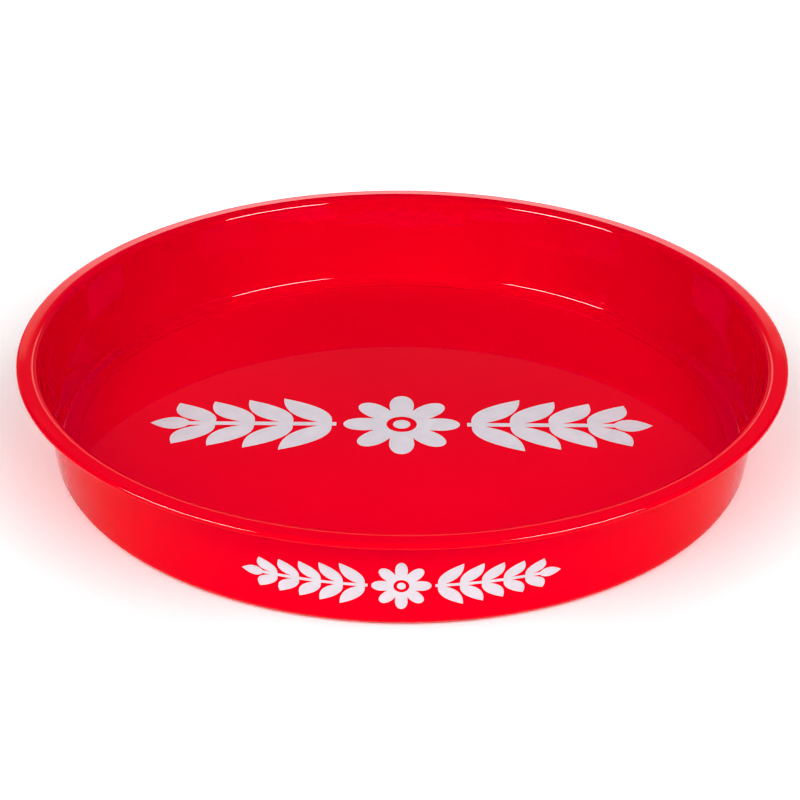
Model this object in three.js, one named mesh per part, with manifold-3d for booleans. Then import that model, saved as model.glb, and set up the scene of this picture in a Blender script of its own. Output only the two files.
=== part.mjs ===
// A round, deep serving tray of tinplate. The tray is one pressing: a floor with a raised panel, a
// flared wall and a flat rim whose edge is curled under. A white ornament is screen-printed on the
// floor and on the front of the outer wall, and each patch of its ink is a thin solid of its own.
// Millimetres and degrees; +Z is up, the tray stands on z = 0 and its printed front faces -Y.

import * as THREE from 'three';
import { mergeVertices } from 'three/addons/utils/BufferGeometryUtils.js';
import Module from 'manifold-3d';

const wasm = await Module();
wasm.setup();

// The pressing.
const rimRadius = 165;
const trayHeight = 44.9;
const sheetThickness = 0.35;
const baseRadius = 152.2; // outside of the wall, just above the bottom corner
const wallFlare = 5.65; // how far the wall leans outwards
const cornerRadius = 3.5; // inside the bottom corner
const rimBendRadius = 3.8; // on top, where the wall turns into the rim
const curlRadius = 1.4; // outside of the curled edge
const curlTurn = 270;
const panelRadius = 142.6; // middle of the step round the raised panel
const panelRise = 0.5;
const stepSlope = 20;
const stepBendRadius = 2.2;
const roundSegments = 72;

// The print.
const inkThickness = 0.12;
const inkGap = 0.03; // keeps the ink's faces clear of the sheet's
const petals = 8;
const floorOrnament = { halfWidth: 112, rosetteRadius: 26, leafReach: 23, leafPairs: 4 };
const floorOrnamentY = -3;
const wallOrnament = { halfWidth: 59, rosetteRadius: 11, leafReach: 9.6, leafPairs: 5 };
const wallOrnamentZ = 19.5;

const RED = { color: 0xe8001c, roughness: 0.25, metalness: 0.1 };
const WHITE = { color: 0xe3dfe9, roughness: 0.5, metalness: 0 };

const radians = THREE.MathUtils.degToRad;
const polar = (radius, degrees) =>
  new THREE.Vector2(radius * Math.cos(radians(degrees)), radius * Math.sin(radians(degrees)));
const at = (x, y) => new THREE.Vector2(x, y);

// A bend of the sheet about a centre in the (radius, height) plane, as pairs of points on the
// underside and on the top side. Straight stretches of sheet run from one bend to the next.
function bend(centre, undersideRadius, topRadius, startAngle, endAngle, steps) {
  return Array.from({ length: steps + 1 }, (_, i) => {
    const angle = THREE.MathUtils.lerp(startAngle, endAngle, i / steps);
    return {
      under: polar(undersideRadius, angle).add(centre),
      top: polar(topRadius, angle).add(centre),
    };
  });
}

const cornerOutside = cornerRadius + sheetThickness;
const rimBendUnder = rimBendRadius - sheetThickness;
const curlInside = curlRadius - sheetThickness;
const stepBendOutside = stepBendRadius + sheetThickness;
const cornerCentre = at(baseRadius - cornerOutside, cornerOutside);
const wallFoot = polar(cornerOutside, -wallFlare).add(cornerCentre);
const wallTop = trayHeight - rimBendRadius;
const curlCentre = at(rimRadius - curlRadius, trayHeight - curlRadius);

// Radius of the wall's outside face at a height.
const wallRadius = (height) => wallFoot.x + (height - wallFoot.y) * Math.tan(radians(wallFlare));

// The centre of the bend at the rim is level with the wall's top, a bend radius outside the wall.
const rimBendCentre = at(wallRadius(wallTop) + rimBendUnder / Math.cos(radians(wallFlare)), wallTop);

// The step's two bends stand on either side of panelRadius. Each takes up its part of the rise.
const bendRise = (stepBendRadius + stepBendOutside) * (1 - Math.cos(radians(stepSlope)));
const bendRun = (stepBendRadius + stepBendOutside) * Math.sin(radians(stepSlope));
const stepRun = bendRun + (panelRise - bendRise) / Math.tan(radians(stepSlope));
const panelBendCentre = at(panelRadius - stepRun / 2, panelRise - stepBendRadius);
const footBendCentre = at(panelRadius + stepRun / 2, stepBendOutside);

// The tray's profile goes out along the underside and comes back along the top, axis to axis.
function trayProfile() {
  const bends = [
    bend(panelBendCentre, stepBendRadius, stepBendOutside, 90, 90 - stepSlope, 2),
    bend(footBendCentre, stepBendOutside, stepBendRadius, -90 - stepSlope, -90, 2),
    bend(cornerCentre, cornerOutside, cornerRadius, -90, -wallFlare, 4),
    bend(rimBendCentre, rimBendUnder, rimBendRadius, 180 - wallFlare, 90, 5),
    bend(curlCentre, curlInside, curlRadius, 90, 90 - curlTurn, 9),
  ].flat();
  const underside = bends.map((pair) => pair.under);
  const topSide = bends.map((pair) => pair.top).reverse();
  return [at(0, panelRise), ...underside, ...topSide, at(0, panelRise + sheetThickness)];
}

// Turns a profile round +Z. A profile that isn't closed through the axis closes on itself.
const turned = (profile) => new THREE.LatheGeometry(profile, roundSegments).rotateX(Math.PI / 2);

// A closed geometry as a manifold-3d solid, and back.
function toSolid(geometry) {
  const bare = geometry.clone().deleteAttribute('normal').deleteAttribute('uv');
  const merged = mergeVertices(bare, 1e-4);
  return new wasm.Manifold(new wasm.Mesh({
    numProp: 3,
    vertProperties: merged.attributes.position.array,
    triVerts: new Uint32Array(merged.index.array),
  }));
}

function toGeometry(solid) {
  const { vertProperties, triVerts } = solid.getMesh();
  return new THREE.BufferGeometry()
    .setAttribute('position', new THREE.BufferAttribute(vertProperties, 3))
    .setIndex(new THREE.BufferAttribute(triVerts, 1));
}

// A rosette: petals round a ring, with a round hole in the middle.
function rosette(radius) {
  const valley = 0.5 * radius;
  const half = 180 / petals;
  const lean = 0.72 * half;
  // The two control points are as far out as the petal's tip needs to reach the full radius.
  const valleyShare = 0.25 * valley * Math.cos(radians(half));
  const control = (radius - valleyShare) / (0.75 * Math.cos(radians(lean)));
  const shape = new THREE.Shape();
  const start = polar(valley, -half);
  shape.moveTo(start.x, start.y);
  for (let petal = 0; petal < petals; petal += 1) {
    const middle = petal * 2 * half;
    const first = polar(control, middle - lean);
    const second = polar(control, middle + lean);
    const end = polar(valley, middle + half);
    shape.bezierCurveTo(first.x, first.y, second.x, second.y, end.x, end.y);
  }
  shape.holes.push(new THREE.Path().absarc(0, 0, 0.26 * radius, 0, 2 * Math.PI, true));
  return shape;
}

const rosetteCentre = (radius) => new THREE.Shape().absarc(0, 0, 0.15 * radius, 0, 2 * Math.PI);

// A sprig along +X: pairs of leaves on a thin stem, and one leaf at its tip. The outline runs out
// along the upper side of the stem and comes back along the lower side.
function sprig({ halfWidth, rosetteRadius, leafReach, leafPairs }) {
  const start = 1.12 * rosetteRadius;
  const stem = 0.07 * leafReach;
  const spacing = (halfWidth - start) / (leafPairs + 0.8);
  const shape = new THREE.Shape();

  function leaf(side, pair) {
    const root = start + spacing * (pair + 0.12);
    const size = 1 - 0.07 * pair;
    const tip = at(root + 0.98 * leafReach * size, leafReach * size);
    const inner = { root: at(root, stem), control: at(root - 0.06 * leafReach, 0.62 * tip.y) };
    const outer = {
      root: at(root + 0.34 * spacing, stem),
      control: at(root + 0.34 * spacing + 0.72 * leafReach, 0.3 * tip.y),
    };
    const [from, to] = side > 0 ? [inner, outer] : [outer, inner];
    shape.lineTo(from.root.x, side * from.root.y);
    shape.quadraticCurveTo(from.control.x, side * from.control.y, tip.x, side * tip.y);
    shape.quadraticCurveTo(to.control.x, side * to.control.y, to.root.x, side * to.root.y);
  }

  shape.moveTo(start, -stem);
  shape.lineTo(start, stem);
  for (let pair = 0; pair < leafPairs; pair += 1) leaf(1, pair);
  const tipRoot = halfWidth - spacing;
  const bulge = 0.42 * leafReach;
  shape.lineTo(tipRoot, stem);
  shape.quadraticCurveTo(tipRoot + 0.4 * spacing, bulge, halfWidth, 0);
  shape.quadraticCurveTo(tipRoot + 0.4 * spacing, -bulge, tipRoot, -stem);
  for (let pair = leafPairs - 1; pair >= 0; pair -= 1) leaf(-1, pair);
  return shape;
}

// One ornament's patches by name: a rosette with its centre, and a sprig to either side.
function ornamentPatches(ornament) {
  const curves = { steps: 1, curveSegments: 6, bevelEnabled: false };
  const plate = (shape, depth) => new THREE.ExtrudeGeometry(shape, { ...curves, depth });
  return {
    rosette: (depth) => plate(rosette(ornament.rosetteRadius), depth),
    rosette_centre: (depth) => plate(rosetteCentre(ornament.rosetteRadius), depth),
    sprig_right: (depth) => plate(sprig(ornament), depth),
    sprig_left: (depth) => plate(sprig(ornament), depth).rotateZ(Math.PI),
  };
}

// A thin shell round the outer wall, as tall as the wall's straight part.
function inkShell() {
  const low = wallFoot.y + 1;
  const high = wallTop - 1;
  const inner = (height) => wallRadius(height) + inkGap;
  const outer = (height) => inner(height) + inkThickness;
  const profile = [
    at(inner(low), low),
    at(outer(low), low),
    at(outer(high), high),
    at(inner(high), high),
    at(inner(low), low),
  ];
  return toSolid(turned(profile));
}

function addMesh(group, name, geometry, material) {
  const mesh = new THREE.Mesh(geometry, material);
  mesh.name = name;
  group.add(mesh);
  return mesh;
}

const tray = new THREE.Group();
const redLacquer = new THREE.MeshStandardMaterial(RED);
const whiteInk = new THREE.MeshStandardMaterial(WHITE);

addMesh(tray, 'tray_pan', turned(trayProfile()), redLacquer);

// On the floor a patch is a flat plate lying on the raised panel.
const panelTop = panelRise + sheetThickness;
for (const [name, plate] of Object.entries(ornamentPatches(floorOrnament))) {
  const patch = addMesh(tray, `floor_${name}`, plate(inkThickness), whiteInk);
  patch.position.set(0, floorOrnamentY, panelTop + inkGap);
}

// On the wall a patch is what a prism of its outline, going in from the front, shares with the
// shell.
const shell = inkShell();
const prismDepth = rimRadius / 2;
for (const [name, plate] of Object.entries(ornamentPatches(wallOrnament))) {
  const prism = plate(prismDepth)
    .rotateX(Math.PI / 2)
    .translate(0, prismDepth - rimRadius, wallOrnamentZ);
  addMesh(tray, `wall_${name}`, toGeometry(toSolid(prism).intersect(shell)), whiteInk);
}

export default tray;
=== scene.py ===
# A round, deep serving tray of tinplate: one pressing in glossy red lacquer with a curled rim, and a
# white ornament screen-printed on its floor and on the front of its outer wall.
# Metres and degrees; +Z is up, the tray stands on z = 0 and its printed front faces -Y.

import math

import bmesh
import bpy
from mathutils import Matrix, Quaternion, Vector
from mathutils.geometry import delaunay_2d_cdt


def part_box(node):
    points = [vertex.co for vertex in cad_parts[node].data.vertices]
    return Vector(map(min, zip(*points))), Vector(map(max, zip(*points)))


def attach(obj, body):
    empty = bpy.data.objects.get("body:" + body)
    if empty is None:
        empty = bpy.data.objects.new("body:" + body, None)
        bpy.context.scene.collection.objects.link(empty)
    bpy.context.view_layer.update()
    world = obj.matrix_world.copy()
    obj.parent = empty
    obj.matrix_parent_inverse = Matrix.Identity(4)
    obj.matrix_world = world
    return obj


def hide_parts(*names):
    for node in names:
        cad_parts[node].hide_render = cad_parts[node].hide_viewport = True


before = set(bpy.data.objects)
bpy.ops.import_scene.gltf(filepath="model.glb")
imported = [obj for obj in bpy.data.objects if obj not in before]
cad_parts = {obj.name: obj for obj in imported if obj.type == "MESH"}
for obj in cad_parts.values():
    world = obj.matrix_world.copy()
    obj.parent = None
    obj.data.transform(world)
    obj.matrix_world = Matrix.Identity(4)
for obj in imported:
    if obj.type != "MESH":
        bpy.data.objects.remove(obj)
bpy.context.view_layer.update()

MM = 0.001

# The pressing: the same bends as the CAD part, whose overall sizes come from the frame.
RIM_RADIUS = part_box("tray_pan")[1].x
TRAY_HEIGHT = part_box("tray_pan")[1].z
SHEET = 0.35 * MM
BASE_RADIUS = 152.2 * MM
WALL_FLARE = 5.65
CORNER_RADIUS = 3.5 * MM
RIM_BEND_RADIUS = 3.8 * MM
CURL_RADIUS = 1.4 * MM
CURL_TURN = 270
PANEL_RADIUS = 142.6 * MM
PANEL_RISE = 0.5 * MM
STEP_SLOPE = 20
STEP_BEND_RADIUS = 2.2 * MM
ROUND_SEGMENTS = 256
SUPPORT_EDGE = 0.4 * MM  # how close a loop stands to each end of a straight stretch
LONGEST_STRETCH = 14 * MM
SHARP_ANGLE = 50  # an edge where the surface turns by more than this stays sharp

# The print.
INK_GAP = 0.012 * MM
INK_THICKNESS = 0.05 * MM
INK_GRID = 1.5 * MM
PETALS = 8
ROSETTE_HOLE = 0.26  # radius of the hole, as a share of the rosette's
ROSETTE_CENTRE = 0.15  # radius of the dot in the hole, as a share of the rosette's
HOLE_STEPS = 64
CENTRE_STEPS = 48
PETAL_STEPS = 24
LEAF_STEPS = 16
SPRIG_TIP_STEPS = 12
FLOOR_LEAF_PAIRS = 4
WALL_LEAF_PAIRS = 5

# The camera stands in front of the tray and looks down on it.
CAMERA_PLACE = Vector((-1.5, -664.9, 380.2)) * MM
CAMERA_AIM = Vector((-0.8, 20.9, 0)) * MM
CAMERA_LENS = 77
CAMERA_ROLL = 0.4

# Colours, as linear RGB with alpha.
LACQUER_DEEP = (0.84, 0.0, 0.011, 1)
LACQUER_LIGHT = (0.88, 0.0, 0.014, 1)
DUST = (0.8, 0.3, 0.32, 1)
INK_DEEP = (0.72, 0.71, 0.76, 1)
INK_LIGHT = (0.77, 0.76, 0.81, 1)
PINHOLE = (0.75, 0.45, 0.5, 1)
TABLE_WHITE = (0.88, 0.88, 0.88, 1)
LIGHT_WHITE = (1, 1, 1, 1)

RIM_RIDGES = 1280  # the fine radial ridges that the curling wheel leaves round the rim

# Light, as radiance: a white surface lit evenly by radiance 1 shows as full white.
FILL_RADIANCE = 2.85
GLINT_RADIANCE = 18.0
BACKDROP_RADIANCE = 0.74
BAND_RADIANCE = 2.0
ROOM_RADIANCE = 0.02
# The table's own glow, which is painted light: its strength next to the tray and far from it.
TABLE_GLOW = 0.2
FAR_TABLE_GLOW = 1.0

# The softboxes.
SOFTBOX_DISTANCE = 1.3
FILL_ELEVATION = 45
GLINT_ELEVATION = 27
GLINT_HEIGHT = 0.4

# The backdrop and its brighter band. Each edge is soft, from the first number to the second: an
# elevation in degrees, or how far a direction points back (y) or aside (x), at most 1.
BACKDROP_TOP = (44, 52)
BACKDROP_SIDES = (0.5, 0.75)
BAND_BOTTOM = (19.5, 21.5)
BAND_TOP = (22.5, 27.5)
BAND_SIDES = (0.26, 0.36)

TABLE_REACH = 3
TABLE_GAP = 0.05 * MM  # keeps the table's face clear of the tray's foot


def polar(radius, degrees):
    return Vector((math.cos(math.radians(degrees)), math.sin(math.radians(degrees)))) * radius


# ---------------------------------------------------------------- the pressing

CORNER_OUTSIDE = CORNER_RADIUS + SHEET
RIM_BEND_UNDER = RIM_BEND_RADIUS - SHEET
CURL_INSIDE = CURL_RADIUS - SHEET
STEP_BEND_OUTSIDE = STEP_BEND_RADIUS + SHEET
WALL_TOP = TRAY_HEIGHT - RIM_BEND_RADIUS
CORNER_CENTRE = Vector((BASE_RADIUS - CORNER_OUTSIDE, CORNER_OUTSIDE))
WALL_FOOT = CORNER_CENTRE + polar(CORNER_OUTSIDE, -WALL_FLARE)
CURL_CENTRE = Vector((RIM_RADIUS - CURL_RADIUS, TRAY_HEIGHT - CURL_RADIUS))


def wall_radius(height):
    """Radius of the wall's outside face at a height."""
    return WALL_FOOT.x + (height - WALL_FOOT.y) * math.tan(math.radians(WALL_FLARE))


RIM_BEND_CENTRE = Vector(
    (wall_radius(WALL_TOP) + RIM_BEND_UNDER / math.cos(math.radians(WALL_FLARE)), WALL_TOP)
)


def step_centres():
    """The centres of the two bends of the step round the raised panel: the panel's and the foot's."""
    slope = math.radians(STEP_SLOPE)
    both = STEP_BEND_RADIUS + STEP_BEND_OUTSIDE
    run = both * math.sin(slope) + (PANEL_RISE - both * (1 - math.cos(slope))) / math.tan(slope)
    panel = Vector((PANEL_RADIUS - run / 2, PANEL_RISE - STEP_BEND_RADIUS))
    foot = Vector((PANEL_RADIUS + run / 2, STEP_BEND_OUTSIDE))
    return panel, foot


def bend(centre, under_radius, top_radius, start, end, steps):
    """A bend of the sheet about a centre: its points on the underside and on the top side."""
    angles = [start + (end - start) * i / steps for i in range(steps + 1)]
    return [(centre + polar(under_radius, a), centre + polar(top_radius, a)) for a in angles]


def with_supports(points):
    """The same profile with more points on its straight stretches, so that they shade flat."""
    result = [points[0]]
    for start, end in zip(points, points[1:]):
        length = (end - start).length
        if length > 4 * SUPPORT_EDGE:
            margin = SUPPORT_EDGE / length
            parts = math.ceil(length / LONGEST_STRETCH)
            for i in range(parts + 1):
                result.append(start.lerp(end, margin + (1 - 2 * margin) * i / parts))
        result.append(end)
    return result


def tray_profile():
    """Out along the underside and back along the top, from axis to axis."""
    panel, foot = step_centres()
    bends = [
        *bend(panel, STEP_BEND_RADIUS, STEP_BEND_OUTSIDE, 90, 90 - STEP_SLOPE, 5),
        *bend(foot, STEP_BEND_OUTSIDE, STEP_BEND_RADIUS, -90 - STEP_SLOPE, -90, 5),
        *bend(CORNER_CENTRE, CORNER_OUTSIDE, CORNER_RADIUS, -90, -WALL_FLARE, 10),
        *bend(RIM_BEND_CENTRE, RIM_BEND_UNDER, RIM_BEND_RADIUS, 180 - WALL_FLARE, 90, 14),
        *bend(CURL_CENTRE, CURL_INSIDE, CURL_RADIUS, 90, 90 - CURL_TURN, 30),
    ]
    under = [Vector((0, PANEL_RISE))] + [pair[0] for pair in bends]
    top = [pair[1] for pair in reversed(bends)] + [Vector((0, PANEL_RISE + SHEET))]
    return with_supports(under) + with_supports(top)


def turned_mesh(name, profile):
    """A closed mesh of a profile that runs from axis to axis, turned round +Z."""
    mesh = bmesh.new()
    rings = []
    for radius, height in profile:
        if radius < 1e-9:
            rings.append([mesh.verts.new((0, 0, height))])
        else:
            places = [polar(radius, 360 * i / ROUND_SEGMENTS) for i in range(ROUND_SEGMENTS)]
            rings.append([mesh.verts.new((x, y, height)) for x, y in places])
    for inner, outer in zip(rings, rings[1:]):
        for i in range(ROUND_SEGMENTS):
            j = (i + 1) % ROUND_SEGMENTS
            corners = [inner[i % len(inner)], outer[i % len(outer)],
                       outer[j % len(outer)], inner[j % len(inner)]]
            mesh.faces.new(list(dict.fromkeys(corners)))
    bmesh.ops.recalc_face_normals(mesh, faces=mesh.faces)
    return finished_mesh(name, mesh)


def finished_mesh(name, mesh):
    """A piece in the scene, shaded smooth except at edges where its surface turns sharply."""
    for face in mesh.faces:
        face.smooth = True
    for edge in mesh.edges:
        if edge.calc_face_angle(0) > math.radians(SHARP_ANGLE):
            edge.smooth = False
    data = bpy.data.meshes.new(name)
    mesh.to_mesh(data)
    mesh.free()
    piece = bpy.data.objects.new(name, data)
    bpy.context.scene.collection.objects.link(piece)
    return piece


# ---------------------------------------------------------------- the print

def quadratic(start, control, end, steps):
    """Points of a quadratic curve after its start."""
    fractions = [i / steps for i in range(1, steps + 1)]
    return [start * (1 - t) ** 2 + control * 2 * t * (1 - t) + end * t ** 2 for t in fractions]


def cubic(start, first, second, end, steps):
    """Points of a cubic curve after its start."""
    fractions = [i / steps for i in range(1, steps + 1)]
    return [
        start * (1 - t) ** 3
        + first * 3 * t * (1 - t) ** 2
        + second * 3 * t * t * (1 - t)
        + end * t ** 3
        for t in fractions
    ]


def circle(radius, steps):
    return [polar(radius, 360 * i / steps) for i in range(steps)]


def rosette(radius):
    """A ring of petals. A petal's two control points lie as far out as its tip needs to reach the
    full radius."""
    valley = 0.5 * radius
    half = 180 / PETALS
    lean = 0.72 * half
    valley_share = 0.25 * valley * math.cos(math.radians(half))
    control = (radius - valley_share) / (0.75 * math.cos(math.radians(lean)))
    outline = []
    for petal in range(PETALS):
        middle = 2 * half * petal
        outline += cubic(
            polar(valley, middle - half),
            polar(control, middle - lean),
            polar(control, middle + lean),
            polar(valley, middle + half),
            PETAL_STEPS,
        )
    return outline


def sprig(half_width, rosette_radius, leaf_reach, leaf_pairs):
    """Pairs of leaves on a thin stem along +X, and one leaf at its tip."""
    start = 1.12 * rosette_radius
    stem = 0.07 * leaf_reach
    spacing = (half_width - start) / (leaf_pairs + 0.8)
    upper = [Vector((start, stem))]
    for pair in range(leaf_pairs):
        root = start + spacing * (pair + 0.12)
        size = 1 - 0.07 * pair
        tip = Vector((root + 0.98 * leaf_reach * size, leaf_reach * size))
        inner = Vector((root, stem))
        inner_control = Vector((root - 0.06 * leaf_reach, 0.62 * tip.y))
        outer = Vector((root + 0.34 * spacing, stem))
        outer_control = Vector((outer.x + 0.72 * leaf_reach, 0.3 * tip.y))
        upper += [inner, *quadratic(inner, inner_control, tip, LEAF_STEPS)]
        upper += quadratic(tip, outer_control, outer, LEAF_STEPS)
    tip_root = Vector((half_width - spacing, stem))
    bulge = Vector((tip_root.x + 0.4 * spacing, 0.42 * leaf_reach))
    upper += [tip_root, *quadratic(tip_root, bulge, Vector((half_width, 0)), SPRIG_TIP_STEPS)]
    lower = [Vector((point.x, -point.y)) for point in reversed(upper[:-1])]
    return upper + lower


def ink_triangles(outline, hole_radius):
    """The outline, less a round hole in its middle, filled with small triangles that can follow
    the curve of the wall."""
    left = min(point.x for point in outline)
    right = max(point.x for point in outline)
    low = min(point.y for point in outline)
    high = max(point.y for point in outline)
    columns = math.ceil((right - left) / INK_GRID)
    rows = math.ceil((high - low) / INK_GRID)
    grid = [
        Vector((left + (i + 0.5) * INK_GRID, low + (j + 0.5) * INK_GRID))
        for i in range(columns)
        for j in range(rows)
    ]
    loops = [outline]
    if hole_radius > 0:
        loops.append(circle(hole_radius, HOLE_STEPS))
    points = []
    edges = []
    for loop in loops:
        first = len(points)
        points += loop
        edges += [(first + i, first + (i + 1) % len(loop)) for i in range(len(loop))]
    places, _, faces, *_ = delaunay_2d_cdt(points + grid, edges, [], 1, 1e-9)
    rim_of_hole = hole_radius * math.cos(math.pi / HOLE_STEPS)
    kept = []
    for face in faces:
        middle = (places[face[0]] + places[face[1]] + places[face[2]]) / 3
        if middle.length > rim_of_hole:
            kept.append(face)
    return places, kept


def ink_patch(name, outline, place, hole_radius=0):
    """A thin closed film of ink. place(point, lift) puts a point of the flat outline on the tray."""
    places, triangles = ink_triangles(outline, hole_radius)
    used = sorted({i for triangle in triangles for i in triangle})
    mesh = bmesh.new()
    under = {i: mesh.verts.new(place(places[i], INK_GAP)) for i in used}
    over = {i: mesh.verts.new(place(places[i], INK_GAP + INK_THICKNESS)) for i in used}
    border = {}
    for triangle in triangles:
        mesh.faces.new([over[i] for i in triangle])
        mesh.faces.new([under[i] for i in reversed(triangle)])
        # An edge that a second triangle runs back along isn't on the border.
        for i, j in zip(triangle, triangle[1:] + triangle[:1]):
            if (j, i) in border:
                del border[(j, i)]
            else:
                border[(i, j)] = True
    for i, j in border:
        mesh.faces.new([over[j], over[i], under[i], under[j]])
    bmesh.ops.recalc_face_normals(mesh, faces=mesh.faces)
    return finished_mesh(name, mesh)


def half_size(node):
    low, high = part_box(node)
    return (high - low) / 2


def make_ornament(where, centre_height, leaf_pairs, place):
    """One ornament's four patches: a rosette with its centre, and a sprig to either side. Their
    sizes come from the frame, where the floor's leaves spread along Y and the wall's along Z."""
    radius = half_size(f"{where}_rosette").x
    half_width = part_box(f"{where}_sprig_right")[1].x
    reach = half_size(f"{where}_sprig_right")[1 if where == "floor" else 2]
    leaves = sprig(half_width, radius, reach, leaf_pairs)
    centre = circle(ROSETTE_CENTRE * radius, CENTRE_STEPS)

    def upright(point, lift):
        return place(Vector((point.x, centre_height + point.y)), lift)

    def half_turned(point, lift):
        return place(Vector((-point.x, centre_height - point.y)), lift)

    def add_patch(part, outline, put, hole_radius=0):
        node = f"{where}_{part}"
        piece = ink_patch(f"{node}_ink", outline, put, hole_radius)
        finish_piece(piece, node, white_ink)

    add_patch("rosette", rosette(radius), upright, ROSETTE_HOLE * radius)
    add_patch("rosette_centre", centre, upright)
    add_patch("sprig_right", leaves, upright)
    add_patch("sprig_left", leaves, half_turned)


def on_floor(point, lift):
    return Vector((point.x, point.y, PANEL_RISE + SHEET + lift))


def on_wall(point, lift):
    radius = wall_radius(point.y) + lift
    return Vector((point.x, -math.sqrt(radius ** 2 - point.x ** 2), point.y))


# ---------------------------------------------------------------- materials

class Nodes:
    """Short calls to add the nodes of one tree and to link them."""

    def __init__(self, tree):
        self.tree = tree

    def add(self, kind, inputs=None, **settings):
        node = self.tree.nodes.new(kind)
        for key, value in settings.items():
            setattr(node, key, value)
        for key, value in (inputs or {}).items():
            self.put(node, key, value)
        return node

    def put(self, node, key, value):
        """Sets an input to a number or colour, or links an output to it."""
        if isinstance(value, bpy.types.NodeSocket):
            self.tree.links.new(value, node.inputs[key])
        else:
            node.inputs[key].default_value = value

    def math(self, operation, first, second=0.0, third=0.0):
        inputs = {0: first, 1: second, 2: third}
        return self.add("ShaderNodeMath", inputs, operation=operation).outputs[0]

    def plus(self, first, second):
        return self.math("ADD", first, second)

    def times(self, first, second):
        return self.math("MULTIPLY", first, second)

    def between(self, value, low, high, first=0.0, last=1.0):
        """First below low, last above high, and smooth between."""
        inputs = {"Value": value, "From Min": low, "From Max": high, "To Min": first, "To Max": last}
        node = self.add("ShaderNodeMapRange", inputs, interpolation_type="SMOOTHSTEP")
        return node.outputs["Result"]


class MaterialNodes(Nodes):
    """The nodes of a new material, which are placed by where they are on the object."""

    def __init__(self, name):
        self.material = bpy.data.materials.new(name)
        self.material.use_nodes = True
        super().__init__(self.material.node_tree)
        self.shader = self.tree.nodes["Principled BSDF"]
        self.object_place = self.add("ShaderNodeTexCoord").outputs["Object"]

    def noise(self, scale, detail=2.0, roughness=0.5):
        inputs = {"Vector": self.object_place, "Scale": scale, "Detail": detail, "Roughness": roughness}
        return self.add("ShaderNodeTexNoise", inputs).outputs["Fac"]

    def mix_colour(self, factor, first, second):
        inputs = {"Factor": factor, 6: first, 7: second}
        node = self.add("ShaderNodeMix", inputs, data_type="RGBA")
        return node.outputs[2]

    def bump(self, height, distance, normal=None):
        inputs = {"Height": height, "Distance": distance, "Strength": 1.0}
        if normal is not None:
            inputs["Normal"] = normal
        return self.add("ShaderNodeBump", inputs).outputs["Normal"]

    def specks(self, spacing, size, share):
        """1 on small round specks, one in a share of the cells of a grid of that spacing."""
        inputs = {"Vector": self.object_place, "Scale": 1 / spacing, "Randomness": 1.0}
        cells = self.add("ShaderNodeTexVoronoi", inputs)
        chance = self.add("ShaderNodeSeparateColor", {"Color": cells.outputs["Color"]})
        chosen = self.math("LESS_THAN", chance.outputs["Red"], share)
        near = self.math("LESS_THAN", cells.outputs["Distance"], size / spacing)
        return self.times(chosen, near)


def make_red_lacquer():
    nodes = MaterialNodes("red_lacquer")
    shader = nodes.shader
    place = nodes.add("ShaderNodeSeparateXYZ", {"Vector": nodes.object_place})
    x, y, _ = place.outputs
    radius = nodes.math("SQRT", nodes.plus(nodes.times(x, x), nodes.times(y, y)))

    # The lacquer is a little deeper in some places than in others. Specks of dust lie on it.
    depth = nodes.between(nodes.noise(9, 3), 0.3, 0.7)
    colour = nodes.mix_colour(depth, LACQUER_DEEP, LACQUER_LIGHT)
    dust = nodes.specks(spacing=14 * MM, size=0.16 * MM, share=0.35)
    colour = nodes.mix_colour(dust, colour, DUST)
    nodes.put(shader, "Base Color", colour)
    smears = nodes.between(nodes.noise(22, 4, 0.6), 0.35, 0.75)
    roughness = nodes.math("MULTIPLY_ADD", smears, 0.08, 0.32)
    nodes.put(shader, "Roughness", roughness)

    # Ridges run across the rim, and the lacquer has a faint orange peel all over.
    around = nodes.math("ARCTAN2", y, x)
    ridges = nodes.math("SINE", nodes.times(around, RIM_RIDGES))
    on_rim = nodes.between(radius, RIM_RADIUS - 5.5 * MM, RIM_RADIUS - 3 * MM)
    uneven = nodes.between(nodes.noise(35), 0.35, 0.65)
    ridge_height = nodes.times(nodes.times(ridges, on_rim), uneven)
    normal = nodes.bump(ridge_height, 0.004 * MM)
    normal = nodes.bump(nodes.noise(450), 0.003 * MM, normal)
    nodes.put(shader, "Normal", normal)
    nodes.put(shader, "Coat Normal", normal)

    shader.inputs["Specular IOR Level"].default_value = 0.0
    shader.inputs["Coat Weight"].default_value = 1.0
    shader.inputs["Coat Roughness"].default_value = 0.035
    shader.inputs["Coat IOR"].default_value = 1.5
    return nodes.material


def make_white_ink():
    nodes = MaterialNodes("white_ink")
    shader = nodes.shader
    mottle = nodes.between(nodes.noise(120, 4, 0.6), 0.3, 0.7)
    colour = nodes.mix_colour(mottle, INK_DEEP, INK_LIGHT)
    pinholes = nodes.specks(spacing=3 * MM, size=0.09 * MM, share=0.12)
    colour = nodes.mix_colour(pinholes, colour, PINHOLE)
    nodes.put(shader, "Base Color", colour)
    nodes.put(shader, "Roughness", nodes.math("MULTIPLY_ADD", mottle, 0.1, 0.4))
    nodes.put(shader, "Normal", nodes.bump(nodes.noise(1500), 0.002 * MM))
    shader.inputs["Specular IOR Level"].default_value = 0.4
    return nodes.material


def finish_piece(piece, node, material):
    piece.data.materials.append(material)
    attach(piece, "root")
    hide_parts(node)


# ---------------------------------------------------------------- camera, stage and light

def make_camera():
    camera = bpy.data.objects.new("camera", bpy.data.cameras.new("camera"))
    bpy.context.scene.collection.objects.link(camera)
    camera.data.lens = CAMERA_LENS
    camera.data.sensor_width = 36
    camera.data.clip_start = 0.01
    camera.location = CAMERA_PLACE
    camera.rotation_mode = "QUATERNION"
    roll = Quaternion((0, 0, 1), math.radians(CAMERA_ROLL))
    camera.rotation_quaternion = (CAMERA_AIM - CAMERA_PLACE).to_track_quat("-Z", "Y") @ roll
    bpy.context.scene.camera = camera


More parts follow.
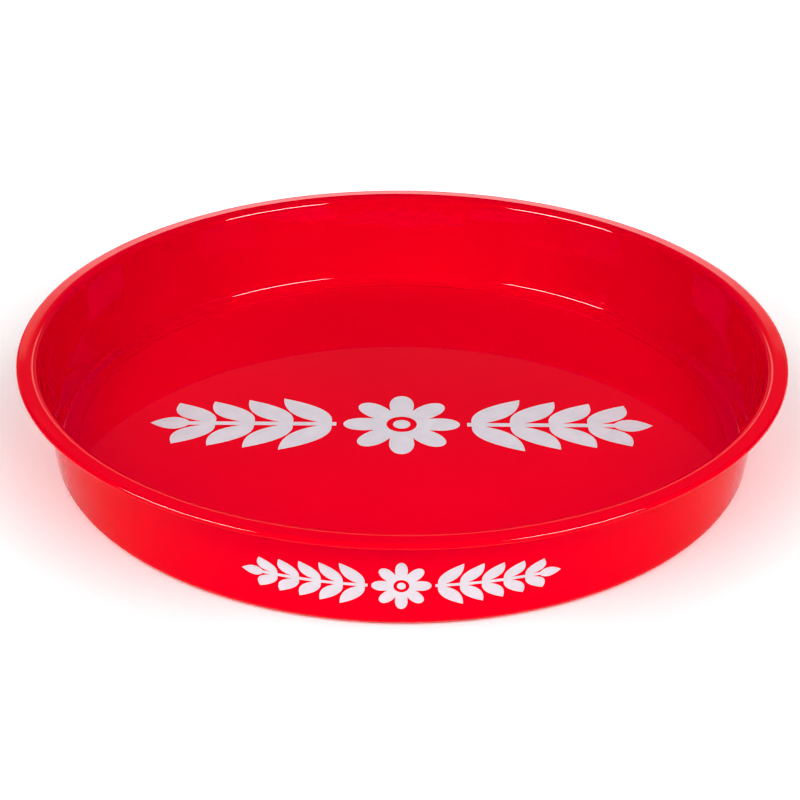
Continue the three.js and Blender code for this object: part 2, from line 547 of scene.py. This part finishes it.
def make_table():
    """A wide white table top with painted light: it glows a little, and more so away from the tray, as
    the white ground of a product picture does."""
    mesh = bmesh.new()
    bmesh.ops.create_grid(mesh, x_segments=8, y_segments=8, size=TABLE_REACH)
    table = finished_mesh("table", mesh)
    table.location.z = -TABLE_GAP
    nodes = MaterialNodes("white_table")
    shader = nodes.shader
    shader.inputs["Base Color"].default_value = TABLE_WHITE
    shader.inputs["Roughness"].default_value = 0.7
    shader.inputs["Specular IOR Level"].default_value = 0.1
    shader.inputs["Emission Color"].default_value = LIGHT_WHITE
    away = nodes.add("ShaderNodeVectorMath", {0: nodes.object_place}, operation="LENGTH")
    # Painted light: the emission rises from TABLE_GLOW at the rim to FAR_TABLE_GLOW three rim radii
    # out.
    glow = nodes.between(
        away.outputs["Value"], RIM_RADIUS, 3 * RIM_RADIUS, TABLE_GLOW, FAR_TABLE_GLOW
    )
    nodes.put(shader, "Emission Strength", glow)
    table.data.materials.append(nodes.material)


def make_softbox(name, azimuth, elevation, width, height, radiance, glint=False):
    """A rectangular light aimed at the tray. Azimuth 0 is behind it, towards +Y, and 90 is right.
    A fill lights surfaces and isn't mirrored in them. A glint is only mirrored."""
    light = bpy.data.lights.new(name, "AREA")
    light.shape = "RECTANGLE"
    light.size = width
    light.size_y = height
    light.energy = radiance * math.pi * width * height
    softbox = bpy.data.objects.new(name, light)
    bpy.context.scene.collection.objects.link(softbox)
    level = SOFTBOX_DISTANCE * math.cos(math.radians(elevation))
    softbox.location = (
        level * math.sin(math.radians(azimuth)),
        level * math.cos(math.radians(azimuth)),
        SOFTBOX_DISTANCE * math.sin(math.radians(elevation)),
    )
    softbox.rotation_mode = "QUATERNION"
    softbox.rotation_quaternion = (-softbox.location).to_track_quat("-Z", "Y")
    softbox.visible_camera = False
    softbox.visible_glossy = glint
    softbox.visible_diffuse = not glint


def make_softboxes():
    make_softbox("glint_left", -121, GLINT_ELEVATION, 0.85, GLINT_HEIGHT, GLINT_RADIANCE, glint=True)
    make_softbox("glint_right", 133, GLINT_ELEVATION, 0.8, GLINT_HEIGHT, GLINT_RADIANCE, glint=True)
    make_softbox("fill_front_left", -140, FILL_ELEVATION, 1.0, 0.9, 1.25 * FILL_RADIANCE)
    make_softbox("fill_front_right", 142, FILL_ELEVATION, 1.0, 0.9, 1.35 * FILL_RADIANCE)
    make_softbox("fill_behind", 0, FILL_ELEVATION, 1.8, 0.6, 0.25 * FILL_RADIANCE)


def make_surroundings():
    """White to the camera. To everything else, a backdrop behind the tray with a brighter band low
    down in its middle, and a dim room."""
    world = bpy.data.worlds.new("studio")
    bpy.context.scene.world = world
    world.use_nodes = True
    world.node_tree.nodes.clear()
    nodes = Nodes(world.node_tree)
    generated = nodes.add("ShaderNodeTexCoord").outputs["Generated"]
    x, y, z = nodes.add("ShaderNodeSeparateXYZ", {"Vector": generated}).outputs

    def from_elevation(edge):
        """1 above the edge and 0 below it."""
        return nodes.between(z, *heights(edge))

    def to_elevation(edge):
        """1 below the edge and 0 above it."""
        return nodes.between(z, *heights(edge), 1.0, 0.0)

    in_middle = nodes.between(nodes.math("ABSOLUTE", x), *BAND_SIDES, 1.0, 0.0)
    band = nodes.times(nodes.times(from_elevation(BAND_BOTTOM), to_elevation(BAND_TOP)), in_middle)
    backdrop = nodes.plus(nodes.times(band, BAND_RADIANCE), BACKDROP_RADIANCE)
    behind = nodes.between(y, *BACKDROP_SIDES)
    lit = nodes.times(nodes.times(behind, backdrop), to_elevation(BACKDROP_TOP))
    strength = nodes.plus(lit, ROOM_RADIANCE)

    lighting = nodes.add("ShaderNodeBackground", {"Color": LIGHT_WHITE, "Strength": strength})
    seen = nodes.add("ShaderNodeBackground", {"Color": LIGHT_WHITE, "Strength": 1.0})
    to_camera = nodes.add("ShaderNodeLightPath").outputs["Is Camera Ray"]
    mixed = {0: to_camera, 1: lighting.outputs[0], 2: seen.outputs[0]}
    surface = nodes.add("ShaderNodeMixShader", mixed).outputs[0]
    nodes.add("ShaderNodeOutputWorld", {"Surface": surface})


def heights(elevations):
    """How far up directions at these elevations point, from 0 to 1."""
    return [math.sin(math.radians(elevation)) for elevation in elevations]


def set_grade():
    """A plain display transform with the contrast of a product picture. Deep tones get deeper, and
    blue less so than red and green, which keeps the reds a little cool."""
    scene = bpy.context.scene
    scene.view_settings.view_transform = "Standard"
    scene.view_settings.look = "None"
    scene.view_settings.use_curve_mapping = True
    mapping = scene.view_settings.curve_mapping
    deep = ((0.06, 0.001), (0.13, 0.03), (0.35, 0.22))
    deep_blue = ((0.012, 0.011), (0.095, 0.019), (0.14, 0.035), (0.35, 0.22))
    for curve, points in zip(mapping.curves, (deep, deep, deep_blue)):
        for x, y in points:
            curve.points.new(x, y)
    mapping.update()
    scene.cycles.use_denoising = True


red_lacquer = make_red_lacquer()
white_ink = make_white_ink()

make_camera()
pan = turned_mesh("tray_pressing", tray_profile())
finish_piece(pan, "tray_pan", red_lacquer)

floor_low, floor_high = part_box("floor_rosette")
make_ornament("floor", (floor_low.y + floor_high.y) / 2, FLOOR_LEAF_PAIRS, on_floor)
wall_low, wall_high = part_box("wall_rosette")
make_ornament("wall", (wall_low.z + wall_high.z) / 2, WALL_LEAF_PAIRS, on_wall)

make_table()
make_softboxes()
make_surroundings()
set_grade()
